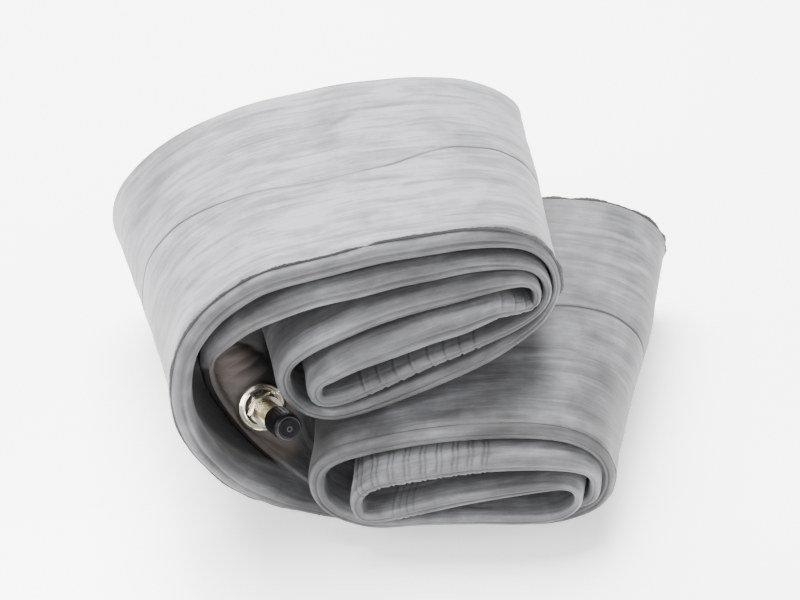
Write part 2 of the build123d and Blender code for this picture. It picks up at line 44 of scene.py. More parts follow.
# ---------------------------------------------------------------------------
# The folded loop, mm. One row per station around the loop:
# near edge x, y, z, thickness, far edge x, y, z, thickness
# ---------------------------------------------------------------------------
LOOP = np.array([
    ( -65.89,  -66.34,  69.19, 8.00, -103.15,  42.44,  47.63, 5.58),
    ( -63.58,  -65.81,  77.85, 8.00, -100.87,  43.31,  56.19, 5.58),
    ( -60.10,  -64.60,  84.11, 8.20,  -96.23,  45.11,  62.81, 5.60),
    ( -54.92,  -62.79,  90.15, 8.40,  -89.17,  47.69,  69.31, 5.60),
    ( -48.15,  -60.38,  94.83, 8.60,  -80.00,  50.97,  74.56, 5.60),
    ( -39.66,  -57.87,  98.61, 8.60,  -68.75,  54.40,  79.18, 5.60),
    ( -28.31,  -54.69, 100.52, 8.60,  -54.45,  58.67,  83.09, 5.60),
    ( -16.35,  -51.95, 102.20, 8.60,  -39.27,  62.31,  85.88, 5.60),
    (  -4.23,  -49.95, 104.28, 8.60,  -23.57,  65.06,  88.04, 5.60),
    (   7.93,  -47.95, 105.36, 8.40,   -7.64,  67.71,  88.67, 5.60),
    (  20.18,  -45.95, 105.96, 8.20,    9.09,  70.04,  88.31, 5.60),
    (  31.32,  -43.45, 104.42, 7.50,   24.06,  72.59,  86.16, 5.25),
    (  39.65,  -40.95, 100.70, 6.00,   34.04,  75.09,  82.22, 4.26),
    (  45.79,  -38.95,  95.22, 4.40,   40.89,  77.09,  77.86, 3.20),
    (  49.71,  -37.45,  88.92, 3.40,   45.03,  78.59,  73.70, 2.54),
    (  51.80,  -36.75,  82.77, 3.10,   47.20,  79.30,  69.76, 2.35),
    (  52.11,  -36.95,  77.38, 3.10,   47.69,  79.10,  66.00, 2.35),
    (  50.17,  -38.45,  72.67, 3.40,   46.23,  77.59,  62.54, 2.54),
    (  46.84,  -40.95,  69.06, 4.40,   42.69,  75.06,  59.78, 3.20),
    (  41.25,  -43.95,  66.19, 5.40,   36.68,  72.05,  57.56, 3.86),
    (  33.46,  -47.45,  63.28, 6.40,   27.58,  68.56,  55.73, 4.52),
    (  24.39,  -50.45,  59.94, 7.00,   15.28,  65.60,  54.50, 4.92),
    (  14.77,  -52.45,  56.12, 7.20,    1.58,  63.66,  53.70, 5.05),
    (   5.12,  -53.95,  52.01, 7.20,  -11.14,  62.27,  52.85, 5.05),
    (  -4.60,  -54.95,  47.62, 7.00,  -23.07,  61.28,  51.28, 4.92),
    ( -12.75,  -55.95,  44.53, 6.40,  -32.88,  60.10,  49.31, 4.52),
    ( -19.94,  -56.45,  42.76, 5.80,  -41.78,  59.23,  46.71, 4.13),
    ( -26.41,  -56.57,  43.79, 5.20,  -50.81,  58.66,  45.08, 3.73),
    ( -31.47,  -56.38,  47.20, 5.00,  -58.77,  58.52,  45.59, 3.60),
    ( -34.50,  -56.06,  52.01, 5.00,  -64.39,  58.69,  48.00, 3.60),
    ( -35.48,  -56.12,  57.99, 5.00,  -67.34,  58.65,  52.02, 3.60),
    ( -34.11,  -56.03,  63.32, 5.60,  -66.25,  58.82,  56.32, 4.00),
    ( -30.90,  -55.84,  68.05, 7.00,  -62.13,  59.17,  60.58, 4.92),
    ( -25.73,  -55.03,  72.38, 8.20,  -55.09,  60.22,  64.73, 5.60),
    ( -18.42,  -54.45,  76.89, 9.00,  -44.96,  61.04,  68.79, 5.60),
    (  -8.74,  -53.45,  81.70, 9.40,  -31.46,  62.25,  72.41, 5.60),
    (   1.79,  -52.45,  85.63, 9.40,  -16.82,  63.42,  74.72, 5.60),
    (  11.12,  -51.45,  88.10, 9.00,   -3.93,  64.54,  75.86, 5.60),
    (  20.39,  -49.95,  89.39, 8.40,    8.89,  66.09,  76.02, 5.60),
    (  29.51,  -47.95,  89.78, 7.00,   21.44,  68.07,  75.70, 4.92),
    (  36.71,  -45.45,  88.66, 5.40,   30.64,  70.55,  74.04, 3.86),
    (  41.85,  -43.45,  86.40, 3.80,   37.01,  72.54,  72.28, 2.81),
    (  44.83,  -42.45,  82.93, 2.90,   40.38,  73.55,  69.94, 2.30),
    (  45.56,  -42.45,  79.76, 2.80,   41.37,  73.55,  67.68, 2.30),
    (  44.76,  -42.95,  77.39, 3.00,   39.89,  73.04,  65.85, 2.30),
    (  41.16,  -44.95,  77.41, 4.20,   35.66,  71.03,  65.84, 3.07),
    (  35.46,  -48.45,  80.17, 6.20,   28.69,  67.54,  68.02, 4.39),
    (  29.31,  -51.45,  81.67, 8.00,   20.81,  64.57,  69.57, 5.58),
    (  20.65,  -53.95,  79.96, 9.60,    8.98,  62.12,  69.69, 5.60),
    (  11.23,  -55.45,  77.69, 10.40,   -4.07,  60.65,  68.89, 5.60),
    (   1.98,  -56.95,  74.66, 10.60,  -17.20,  59.16,  68.04, 5.60),
    (  -7.48,  -57.95,  70.96, 10.40,  -30.23,  58.15,  66.12, 5.60),
    ( -14.77,  -58.45,  67.01, 9.60,  -40.16,  57.59,  63.47, 5.60),
    ( -20.90,  -58.45,  61.88, 8.00,  -48.20,  57.47,  59.51, 5.58),
    ( -24.56,  -57.96,  57.54, 6.00,  -52.55,  57.80,  55.86, 4.26),
    ( -25.50,  -58.02,  53.65, 5.20,  -52.90,  57.65,  52.98, 3.73),
    ( -23.86,  -57.95,  50.04, 5.20,  -49.59,  57.75,  51.04, 3.73),
    ( -19.05,  -57.45,  50.01, 6.00,  -43.02,  58.53,  52.44, 4.26),
    ( -13.23,  -56.95,  51.97, 6.00,  -35.68,  59.26,  54.55, 4.26),
    (  -5.80,  -56.45,  55.68, 5.80,  -26.48,  59.87,  56.82, 4.13),
    (   1.89,  -55.45,  59.33, 5.80,  -16.59,  60.83,  58.23, 4.13),
    (  11.43,  -53.95,  63.57, 5.60,   -3.63,  62.22,  59.36, 4.00),
    (  20.95,  -51.95,  66.68, 5.40,    9.97,  64.13,  59.80, 3.86),
    (  30.51,  -48.45,  68.70, 5.00,   23.32,  67.57,  59.79, 3.60),
    (  38.22,  -45.45,  70.75, 4.40,   32.80,  70.54,  60.85, 3.20),
    (  44.00,  -42.45,  72.46, 3.40,   39.42,  73.54,  62.12, 2.54),
    (  47.51,  -40.45,  75.13, 2.80,   43.31,  75.56,  64.20, 2.30),
    (  48.78,  -39.45,  79.45, 2.70,   44.36,  76.56,  67.44, 2.30),
    (  47.82,  -39.45,  84.22, 2.80,   43.29,  76.56,  70.82, 2.30),
    (  44.64,  -40.45,  89.43, 3.60,   39.82,  75.56,  74.39, 2.68),
    (  39.06,  -42.45,  93.82, 5.20,   33.45,  73.56,  77.61, 3.73),
    (  30.31,  -45.45,  96.96, 6.60,   22.57,  70.58,  80.71, 4.66),
    (  20.26,  -47.95,  97.73, 7.60,    8.97,  68.07,  81.92, 5.32),
    (  11.07,  -49.95,  96.98, 8.00,   -3.73,  65.93,  82.05, 5.58),
    (   1.89,  -51.45,  96.13, 8.20,  -16.16,  64.13,  81.67, 5.60),
    (  -7.18,  -53.45,  94.91, 8.20,  -28.21,  61.71,  80.50, 5.60),
    ( -16.34,  -54.95,  93.32, 8.20,  -40.17,  59.75,  78.62, 5.60),
    ( -25.53,  -56.52,  91.79, 8.20,  -52.15,  57.60,  76.26, 5.60),
    ( -34.10,  -58.03,  89.30, 8.20,  -63.37,  55.40,  73.14, 5.60),
    ( -41.86,  -59.00,  85.91, 8.00,  -73.51,  53.66,  68.89, 5.58),
    ( -48.66,  -58.91,  80.76, 7.60,  -82.37,  52.94,  63.14, 5.32),
    ( -54.58,  -57.52,  73.55, 7.00,  -89.48,  52.74,  56.12, 4.92),
    ( -58.83,  -53.93,  63.76, 4.40,  -93.43,  53.87,  48.15, 4.52),
    ( -60.54,  -50.11,  54.24, 4.40,  -94.09,  55.21,  41.35, 4.00),
    ( -59.78,  -46.85,  44.10, 4.40,  -91.36,  56.80,  34.52, 3.86),
    ( -57.41,  -44.84,  35.10, 4.40,  -86.98,  57.99,  27.65, 3.86),
    ( -53.73,  -44.55,  27.35, 4.40,  -80.12,  58.36,  21.39, 3.86),
    ( -48.82,  -45.98,  20.80, 4.40,  -71.43,  57.83,  17.07, 3.86),
    ( -42.85,  -49.44,  16.72, 4.40,  -61.26,  56.38,  15.27, 3.86),
    ( -32.83,  -54.07,  10.84, 4.40,  -42.43,  54.75,  12.99, 3.60),
    ( -25.21,  -58.65,   8.42, 4.40,  -29.78,  52.54,  10.66, 3.20),
    ( -16.15,  -61.81,   6.31, 3.80,  -16.43,  50.57,   7.50, 2.81),
    (  -6.11,  -63.84,   5.91, 3.50,   -2.60,  49.18,   6.37, 2.61),
    (   9.87,  -64.84,   5.85, 3.50,   19.37,  48.22,   6.21, 2.61),
    (  27.88,  -65.64,   5.92, 3.50,   43.74,  47.39,   6.24, 2.61),
    (  43.89,  -66.45,   6.80, 3.70,   65.06,  46.57,   7.76, 2.74),
    (  55.62,  -67.84,  10.83, 4.00,   80.86,  45.17,  13.26, 2.94),
    (  63.99,  -69.84,  16.14, 4.20,   92.81,  43.17,  19.68, 3.07),
    (  65.57,  -70.34,  22.11, 4.00,   95.17,  42.66,  26.35, 2.94),
    (  64.73,  -70.84,  27.78, 4.20,   94.41,  42.16,  32.66, 3.07),
    (  61.26,  -71.84,  32.22, 5.00,   90.08,  41.15,  38.14, 3.60),
    (  55.76,  -72.84,  35.41, 6.00,   82.00,  40.15,  42.30, 4.26),
    (  47.83,  -73.65,  37.48, 6.60,   70.45,  39.34,  44.46, 4.66),
    (  39.32,  -74.15,  38.06, 6.80,   58.80,  38.84,  44.33, 4.79),
    (  29.96,  -74.65,  37.83, 6.80,   46.29,  38.38,  43.02, 4.79),
    (  20.40,  -75.15,  36.90, 6.80,   34.07,  37.98,  41.38, 4.79),
    (  10.84,  -75.65,  35.47, 6.60,   22.07,  37.67,  39.59, 4.66),
    (   1.92,  -76.15,  33.63, 6.40,   10.95,  37.36,  37.62, 4.52),
    (  -4.84,  -76.65,  31.68, 5.60,    2.62,  36.99,  35.35, 4.00),
    (  -9.36,  -76.84,  28.63, 4.80,   -3.09,  36.83,  32.01, 3.47),
    ( -11.83,  -77.15,  25.19, 4.30,   -6.45,  36.49,  28.20, 3.14),
    ( -12.32,  -77.45,  21.24, 4.20,   -7.65,  36.08,  23.77, 3.07),
    ( -10.99,  -77.84,  17.43, 4.20,   -6.72,  35.54,  19.40, 3.07),
    (  -7.79,  -78.24,  16.59, 4.40,   -2.80,  35.06,  17.61, 3.20),
    (  -2.20,  -78.45,  17.87, 5.00,    4.66,  34.87,  18.91, 3.60),
    (   4.47,  -78.45,  20.26, 5.60,   13.42,  34.87,  22.51, 4.00),
    (  13.51,  -78.24,  23.31, 6.00,   25.22,  34.98,  25.97, 4.26),
    (  23.77,  -77.84,  26.14, 6.00,   38.50,  35.26,  29.22, 4.26),
    (  34.02,  -77.34,  27.99, 5.80,   51.87,  35.68,  31.58, 4.13),
    (  43.66,  -76.65,  28.88, 5.20,   64.72,  36.35,  32.98, 3.73),
    (  51.09,  -76.04,  29.03, 4.20,   74.93,  36.95,  33.45, 3.07),
    (  56.03,  -75.65,  27.90, 3.20,   81.88,  37.36,  32.35, 2.41),
    (  59.17,  -75.45,  25.00, 2.70,   86.30,  37.56,  29.21, 2.30),
    (  60.22,  -75.45,  20.96, 2.70,   87.72,  37.57,  24.71, 2.30),
    (  58.66,  -75.65,  17.47, 3.20,   85.87,  37.37,  20.24, 2.41),
    (  54.20,  -76.25,  15.24, 4.20,   79.42,  36.78,  17.68, 3.07),
    (  47.08,  -76.64,  14.47, 4.80,   69.55,  36.38,  16.64, 3.47),
    (  37.89,  -77.05,  14.53, 5.00,   57.18,  35.99,  16.45, 3.60),
    (  27.40,  -77.25,  14.75, 5.00,   43.29,  35.83,  16.54, 3.60),
    (  17.58,  -77.44,  14.83, 5.00,   30.31,  35.69,  16.55, 3.60),
    (   7.81,  -77.25,  14.20, 5.00,   17.29,  35.96,  15.91, 3.60),
    (  -0.52,  -76.84,  12.74, 5.00,    6.02,  36.40,  15.11, 3.60),
    (  -8.13,  -75.45,  11.44, 5.00,   -4.17,  37.78,  13.64, 3.60),
    ( -14.98,  -73.45,  11.92, 5.20,  -13.12,  39.72,  13.25, 3.73),
    ( -19.87,  -72.05,  13.77, 5.40,  -18.96,  41.19,  15.18, 3.86),
    ( -23.52,  -70.25,  16.47, 5.60,  -22.51,  43.16,  18.37, 4.00),
    ( -25.32,  -68.64,  20.76, 5.60,  -23.37,  45.02,  23.30, 4.00),
    ( -25.03,  -67.45,  25.67, 5.80,  -22.02,  46.42,  28.87, 4.13),
    ( -22.55,  -66.84,  30.21, 6.20,  -18.51,  47.12,  33.94, 4.39),
    ( -17.89,  -66.84,  34.12, 6.60,  -12.73,  47.12,  38.24, 4.66),
    ( -11.03,  -66.84,  37.16, 6.80,   -4.49,  47.02,  41.52, 4.79),
    (  -2.65,  -66.84,  39.70, 6.80,    5.71,  46.83,  44.05, 4.79),
    (   6.67,  -66.84,  41.87, 6.80,   17.15,  46.60,  46.39, 4.79),
    (  16.26,  -66.84,  43.61, 6.80,   29.04,  46.37,  48.26, 4.79),
    (  25.81,  -66.84,  44.74, 6.80,   41.13,  46.21,  49.57, 4.79),
    (  35.43,  -66.84,  45.25, 6.80,   53.54,  46.16,  50.19, 4.79),
    (  45.20,  -66.84,  45.00, 6.80,   66.29,  46.15,  50.12, 4.79),
    (  54.21,  -66.84,  43.31, 6.40,   78.38,  46.15,  48.53, 4.52),
    (  62.06,  -66.84,  39.36, 5.80,   89.59,  46.16,  44.47, 4.13),
    (  67.50,  -66.84,  33.75, 5.20,   97.70,  46.16,  38.80, 3.73),
    (  70.22,  -66.84,  27.70, 5.00,  101.63,  46.16,  32.71, 3.60),
    (  70.83,  -66.84,  21.71, 5.00,  102.36,  46.16,  26.29, 3.60),
    (  69.56,  -66.84,  15.13, 5.20,  100.11,  46.16,  19.00, 3.73),
    (  65.62,  -66.84,   9.69, 5.60,   94.76,  46.16,  12.38, 4.00),
    (  58.88,  -66.64,   5.20, 5.00,   85.47,  46.36,   6.52, 3.60),
    (  49.88,  -66.55,   2.40, 4.20,   72.96,  46.45,   1.90, 3.80),
    (  37.88,  -66.45,   1.90, 3.80,   56.84,  46.54,   1.90, 3.80),
    (  21.89,  -66.25,   1.90, 3.80,   35.52,  46.76,   1.90, 3.80),
    (   5.88,  -65.84,   1.90, 3.80,   13.42,  47.15,   1.90, 3.80),
    (  -8.12,  -65.05,   1.90, 3.80,   -6.17,  47.83,   1.90, 3.80),
    ( -17.12,  -64.25,   2.67, 4.20,  -19.03,  48.44,   2.68, 3.07),
    ( -26.19,  -63.84,   5.07, 5.00,  -32.06,  48.63,   4.27, 3.60),
    ( -35.27,  -64.45,   9.48, 6.40,  -45.84,  47.42,   5.19, 4.52),
    ( -45.12,  -65.64,  16.18, 7.60,  -62.62,  45.14,   5.64, 5.32),
    ( -53.12,  -66.64,  23.58, 8.00,  -75.37,  43.72,   9.87, 5.58),
    ( -60.70,  -66.84,  34.46, 8.00,  -87.95,  42.90,  18.63, 5.58),
    ( -65.30,  -66.84,  46.82, 8.00,  -97.15,  42.23,  28.57, 5.58),
    ( -66.89,  -66.84,  58.44, 8.00, -102.08,  41.90,  38.17, 5.58),
])
COUNT = len(LOOP)
VALVE = np.array(((-44.82, -41.55, 30.10)))
AXIS = np.array((0.37, -0.806, 0.465))
AXIS = AXIS / np.linalg.norm(AXIS)

# stretches of the loop (first, last station)
TOP = (0, 18)
INNER_A = (19, 56)
WRINKLED = (57, 69)
TOP_B = (70, 82)
BEND_B = (83, 88)
FLOOR_B = (89, 96)
LOWER_B = (97, 113)
FOLD_END = (114, 124)
LEG_A = (125, 132)
LOWER_A = (133, 153)
FLOOR_A = (154, 167)


def spline(values, at):
    """Periodic cubic spline through values at 0, 1, 2 ... evaluated at 'at'."""
    n = len(values)
    m = np.zeros((n, n))
    for i in range(n):
        m[i, i] = 4
        m[i, (i - 1) % n] = 1
        m[i, (i + 1) % n] = 1
    rhs = 6 * (np.roll(values, -1, 0) - 2 * values + np.roll(values, 1, 0))
    second = np.linalg.solve(m, rhs)
    i0 = np.floor(at).astype(int) % n
    i1 = (i0 + 1) % n
    f = at - np.floor(at)
    if values.ndim > 1:
        f = f[:, None]
    a, b = values[i0], values[i1]
    return (a * (1 - f) + b * f
            + ((1 - f) ** 3 - (1 - f)) * second[i0] / 6 + (f ** 3 - f) * second[i1] / 6)


def smooth(x):
    x = np.clip(x, 0, 1)
    return x * x * (3 - 2 * x)


def wave(p, size, seed):
    """Seeded smooth noise in -1..1 from a sum of sine waves over space, mm."""
    rng = np.random.RandomState(seed)
    total = np.zeros(p.shape[:-1])
    for k in range(7):
        d = rng.normal(size=3)
        d /= np.linalg.norm(d)
        f = 2 * math.pi / (size * rng.uniform(0.6, 1.6))
        total += np.sin(p @ (d * f) + rng.uniform(0, 6.28))
    return total / 3.2


def station_at(run, x):
    """Station number in a run where the near edge passes x (mm)."""
    t = np.linspace(run[0], run[1], 600)
    xs = spline(LOOP[:, 0], t)
    return float(t[np.argmin(np.abs(xs - x))])


# cross wrinkles: station, side (+1 / -1 / 0 both), start and end across the
# width mm, depth mm, half width mm, slant in mm of station shift per mm of width
WRINKLES = []
for k, u in enumerate((365, 381, 397, 413, 430, 446, 461, 475)):
    WRINKLES.append((station_at(WRINKLED, (u - 400) * 0.318 + 1.9), 0, -4, 22 + 5 * (k % 3), 0.30, 0.50, 0.05))
for k, u in enumerate((361, 375, 390, 406, 422, 438, 454, 469, 484)):
    x = (u - 400) * 0.318 + 1.9
    WRINKLES.append((station_at((100, 110), x), 0, -4, 30 + 4 * (k % 3), 0.40, 0.42, 0.06))
    WRINKLES.append((station_at((100, 110), x + 1.5), 0, -4, 24 + 3 * (k % 4), 0.34, 0.40, 0.08))
for u in (395, 402, 409, 416):
    WRINKLES.append((station_at((114, 120), (u - 400) * 0.318 + 1.9), 0, -4, 20, 0.24, 0.4, 0.1))
for t in (44.2, 45.0, 45.7, 46.4):
    WRINKLES.append((t, 0, -4, 14, 0.26, 0.45, 0.1))

# where the moulding line runs across the outer wall: station, share of width
GUIDE = [(0.0, 0.500), (1.6, 0.505), (3.1, 0.485), (4.5, 0.455), (5.5, 0.430), (6.4, 0.415), (7.8, 0.410), (8.8, 0.430), (9.6, 0.475), (10.4, 0.500), (11.8, 0.510), (12.8, 0.507), (14.0, 0.500), (24.0, 0.500), (120.0, 0.500), (146.0, 0.489), (148.0, 0.511), (150.0, 0.490), (151.4, 0.500), (160.0, 0.500)]

# fine station numbers, evenly spaced along the loop and closer at wrinkles
coarse = np.arange(0, COUNT, 0.05)
near_c, far_c = spline(LOOP[:, 0:3], coarse), spline(LOOP[:, 4:7], coarse)
step = 0.5 * (np.linalg.norm(np.roll(near_c, -1, 0) - near_c, axis=1)
              + np.linalg.norm(np.roll(far_c, -1, 0) - far_c, axis=1))
density = np.full(len(coarse), 1 / 1.5)
for w in WRINKLES:
    d = np.abs((coarse - w[0] + COUNT / 2) % COUNT - COUNT / 2)
    density = np.maximum(density, np.where(d < 0.42, 1 / 0.42, 0))
cum = np.concatenate([[0], np.cumsum(step * density)])
total = int(cum[-1])
T = np.interp(np.arange(total) * cum[-1] / total, cum, np.append(coarse, COUNT))
K = len(T)

near, far = spline(LOOP[:, 0:3], T), spline(LOOP[:, 4:7], T)
tn = np.maximum(spline(LOOP[:, 3], T), 2.4)
tf = np.maximum(spline(LOOP[:, 7], T), 2.0)
width = np.linalg.norm(far - near, axis=1)
across = (far - near) / width[:, None]


def dstation(p):
    return (np.roll(p, -1, 0) - np.roll(p, 1, 0))


def curvature(p):
    a, b = p - np.roll(p, 1, 0), np.roll(p, -1, 0) - p
    la, lb = np.hypot(a[:, 0], a[:, 2]), np.hypot(b[:, 0], b[:, 2])
    cross = (a[:, 0] * b[:, 2] - a[:, 2] * b[:, 0]) / (la * lb)
    k = 2 * cross / (la + lb)
    for _ in range(3):
        k = (np.roll(k, 1) + 2 * k + np.roll(k, -1)) / 4
    return k


k_near, k_far = curvature(near), curvature(far)
along_n, along_f = dstation(near), dstation(far)

guide_t = np.array([g[0] for g in GUIDE])
guide_w = np.array([g[1] for g in GUIDE])
guide = np.interp(T, guide_t, guide_w, period=COUNT)
for _ in range(6):
    guide = (np.roll(guide, 1) + 2 * guide + np.roll(guide, -1)) / 4

# ---- section grid ----------------------------------------------------------
RIM = np.radians(np.array([-78, -62, -48, -36, -26, -17, -10, -5, 0, 5, 10, 17, 26, 36, 48, 62, 78]))
NEAR_MM = np.array([0, 1.2, 2.6, 4.2, 6.0, 8.2, 10.8, 14.0, 17.5, 21.5, 26.0, 31.0])
GUIDE_MM = np.array([-1.3, -0.55, -0.22, 0, 0.22, 0.55, 1.3])
FAR_SHARE = np.array([0.14, 0.3, 0.46, 0.62, 0.76, 0.87, 0.945, 1.0])
MID_SHARE = np.array([0.3, 0.65])
FAR_RIM = np.radians(np.array([70, 45, 22, 0, -22, -45, -70]))


def side_grid():
    """Distances across the width (K x J) for one wall, near to far."""
    g = guide * width
    cols = [np.full(K, v) for v in NEAR_MM]
    cols += [NEAR_MM[-1] + (g - 1.9 - NEAR_MM[-1]) * s for s in MID_SHARE]
    cols += [g + v for v in GUIDE_MM]
    g1 = g + 2.2
    cols += [g1 + (width - g1) * s for s in FAR_SHARE]
    return np.stack(cols, 1)


GRID = side_grid()
J = GRID.shape[1]


def half_thickness(a):
    """Half thickness at distance a across the width (arrays K x J)."""
    hn = (tn * 0.485)[:, None]
    hf = (tf * 0.47)[:, None]
    hm = np.minimum(2.25, 0.27 * tn + 0.35)[:, None]
    hm = np.minimum(hm, hn)
    w = width[:, None]
    h = hm + (hn - hm) * (1 - smooth((a + 1.0) / 13.0)) + (hf - hm) * smooth((a - (w - 12)) / 12)
    return h


def place(a, b):
    """Points at distance a across the width and b along the wall normal."""
    f = np.clip(a / width[:, None], 0, 1)[..., None]
    base = near[:, None, :] + across[:, None, :] * a[..., None]
    t = along_n[:, None, :] * (1 - f) + along_f[:, None, :] * f
    n = np.cross(t, np.broadcast_to(across[:, None, :], t.shape))
    n /= np.linalg.norm(n, axis=-1, keepdims=True)
    k = k_near[:, None] * (1 - f[..., 0]) + k_far[:, None] * f[..., 0]
    room = 0.80 / np.maximum(np.abs(k), 1e-4)
    concave = (k * b) > 0
    b = np.where(concave & (np.abs(b) > room), np.sign(b) * room, b)
    return base + n * b[..., None], n


WHERE = {}
cols_a, cols_b, kind = [], [], []

# near rim, from the - wall round to the + wall, with the pressed crease
hn = tn * 0.485
for j, phi in enumerate(RIM):
    r = hn * (1 - 0.17 * math.exp(-(phi / 0.15) ** 2) + 0.03 * math.cos(2 * phi))
    cols_a.append(-r * math.cos(phi) * 1.02)
    cols_b.append(r * math.sin(phi))
    kind.append(("rim", phi))
plus_a = GRID
plus_h = half_thickness(GRID)
for j in range(J):
    cols_a.append(plus_a[:, j])
    cols_b.append(plus_h[:, j])
    kind.append(("plus", j))
hf_rim = tf * 0.47
for phi in FAR_RIM:
    cols_a.append(width + hf_rim * math.cos(phi))
    cols_b.append(hf_rim * math.sin(phi))
    kind.append(("far", phi))
for j in range(J - 1, -1, -1):
    cols_a.append(plus_a[:, j])
    cols_b.append(-plus_h[:, j])
    kind.append(("minus", j))
A = np.stack(cols_a, 1)
B = np.stack(cols_b, 1)
S = A.shape[1]

# wrinkles pressed into the walls and rim
dent = np.zeros_like(B)
# painted shade along the bottom of each wrinkle
wrinkle_shade = np.zeros_like(B)
mm_per_t = 0.5 * (np.linalg.norm(along_n, axis=1) + np.linalg.norm(along_f, axis=1)) / np.maximum(
    ((np.roll(T, -1) - np.roll(T, 1)) % COUNT), 1e-6)
for (t0, side, a0, a1, depth, half, slant) in WRINKLES:
    d = (T - t0 + COUNT / 2) % COUNT - COUNT / 2
    rate = mm_per_t[np.argmin(np.abs(d))]
    ds = d[:, None] * rate - slant * np.maximum(A, 0) - 0.25 * np.sin(A * 0.55 + t0)
    fade = smooth((A - a0) / 2.0) * (1 - smooth((A - a1 * 0.45) / (a1 * 0.55)))
    bump = np.exp(-(ds / half) ** 2) - 0.45 * np.exp(-((ds - 1.1) / 0.7) ** 2)
    dent += depth * fade * bump
    wrinkle_shade = np.maximum(wrinkle_shade, fade * np.exp(-(ds / (half * 0.7)) ** 2) * min(1, depth / 0.38))
B = B - np.sign(B) * np.minimum(dent, np.abs(B) * 0.6)
rim_in = np.array([1.0 if k[0] == "rim" else 0.0 for k in kind])
A = A + dent * rim_in[None, :] * 0.7

# the moulding line is a shallow groove on the outer wall
seam_and_crease_shade = np.zeros_like(B)
for s, (name, j) in enumerate(kind):
    if name == "plus":
        off = GRID[:, j] - guide * width
        B[:, s] -= 0.42 * np.exp(-(off / 0.45) ** 2)
        seam_and_crease_shade[:, s] = np.exp(-(off / 0.50) ** 2)

PTS, NRM = place(A, B)

# soft unevenness of the rubber
outer = np.zeros_like(B)
outer_t = ((T <= 20) | (T >= 131))
for s, (name, j) in enumerate(kind):
    if name == "plus":
        outer[:, s] = np.where(outer_t, 1.0, 0.35)
    elif name == "minus":
        outer[:, s] = 0.3
    elif name == "rim":
        outer[:, s] = 0.35
    else:
        outer[:, s] = 0.5
for _ in range(20):
    outer = (np.roll(outer, 1, 0) + 2 * outer + np.roll(outer, -1, 0)) / 4
soft = (0.55 * wave(PTS, 46, 3) + 0.22 * wave(PTS, 17, 4)) * outer
sgn = np.sign(B)
on_floor = smooth((PTS[..., 2] - 1.0) / 5.0)
PTS = PTS + NRM * (soft * on_floor)[..., None]

# the valve base draws the inner wall of the U bend up to the washer
in_bend = smooth((T - 79.6) / 2.6) * (1 - smooth((T - 88.8) / 3.0))
rel = PTS - VALVE
za = rel @ AXIS
rho = np.linalg.norm(rel - za[..., None] * AXIS, axis=-1)
seat = -2.5
an = np.maximum(NRM @ AXIS, 0.25)
# the seat plane is reached by the wall that faces the valve
lam = (seat - za - (B < 0) * 4.2 * an * 0) / an
reach = 1 - smooth((rho - 12.0) / 30.0)
lift = np.clip(lam, 0, 17.0) * reach * in_bend[:, None] * smooth((A + 1) / 5.0)
LIFT_WALL = lift.copy()
plus_lift = np.zeros_like(lift)
index_of = {}
for s, (name, j) in enumerate(kind):
    index_of[(name, j)] = s
for s, (name, j) in enumerate(kind):
    if name == "minus":
        plus_lift[:, s] = lift[:, index_of[("plus", j)]]
    elif name == "plus":
        plus_lift[:, s] = lift[:, s]
    elif name == "rim":
        plus_lift[:, s] = lift[:, index_of[("plus", 0)]]
    else:
        plus_lift[:, s] = 0
PTS = PTS + NRM * plus_lift[..., None]

# nothing of the tube reaches into the washer's room
rel = PTS - VALVE
za = rel @ AXIS
radial = rel - za[..., None] * AXIS
rho = np.linalg.norm(radial, axis=-1)
hit = (rho < 9.2) & (za > -2.3) & (za < 16)
back = np.where(hit, za + 2.3, 0)
out = np.where(hit, 9.2 - rho, 0)
use_back = hit & (back < out * 1.3)
PTS = PTS - AXIS * np.where(use_back, back, 0)[..., None]
PTS = PTS + (radial / np.maximum(rho, 1e-6)[..., None]) * np.where(hit & ~use_back, out, 0)[..., None]
PTS[..., 2] = np.maximum(PTS[..., 2], 0.02)

# ---- how much talc lies on the rubber, with painted shade and highlights ---
TT = np.broadcast_to(T[:, None], A.shape)
is_plus = np.array([k[0] == "plus" or (k[0] == "rim" and k[1] > 0) for k in kind])[None, :]


def within(t, run, soft_t=0.6):
    return smooth((t - run[0]) / soft_t + 0.5) * (1 - smooth((t - run[1]) / soft_t + 0.5))


phi_of = np.array([k[1] if k[0] == "rim" else 9.0 for k in kind])[None, :]
is_minus = np.array([k[0] == "minus" or (k[0] == "rim" and k[1] < 0) for k in kind])[None, :]
is_rim = np.abs(phi_of) < 2
dust_and_lighting = np.full(A.shape, 0.70)
# lighter on the top face; darker on the lower roll's outer wall and on all rims
dust_and_lighting += 0.26 * within(TT, (-2, 19)) * is_plus * smooth(A / 8.0)
dust_and_lighting += 0.22 * within(TT, (163, 170)) * is_plus * smooth(A / 8.0)
dust_and_lighting -= 0.20 * within(TT, LOWER_A) * is_plus
dust_and_lighting -= 0.22 * is_rim
dust_and_lighting += 0.13 * wave(PTS * np.array((1, 0.35, 1)), 34, 21) + 0.08 * wave(PTS * np.array((1, 0.5, 1)), 11, 22)
# on the rims: painted shade in the pressed crease down the middle, strongest on the folded edges, painted highlights
# on the two lips beside it, and a streaky darker band between them
fold = within(TT, (22.5, 33), 2) + within(TT, (43, 49), 2) + within(TT, (108, 128), 2) + within(TT, (131, 137), 2)
mid = np.exp(-(phi_of / 0.30) ** 2)
dust_and_lighting *= 1 - is_rim * mid * (0.12 + 0.30 * fold) * (0.75 + 0.35 * wave(PTS, 26, 23))
dust_and_lighting += is_rim * (0.10 + 0.16 * fold) * np.exp(-((np.abs(phi_of) - 0.80) / 0.28) ** 2)
dust_and_lighting *= 1 - 0.14 * is_rim * np.exp(-((np.abs(phi_of) - 0.45) / 0.16) ** 2) * (0.5 + 0.5 * wave(PTS, 20, 24))
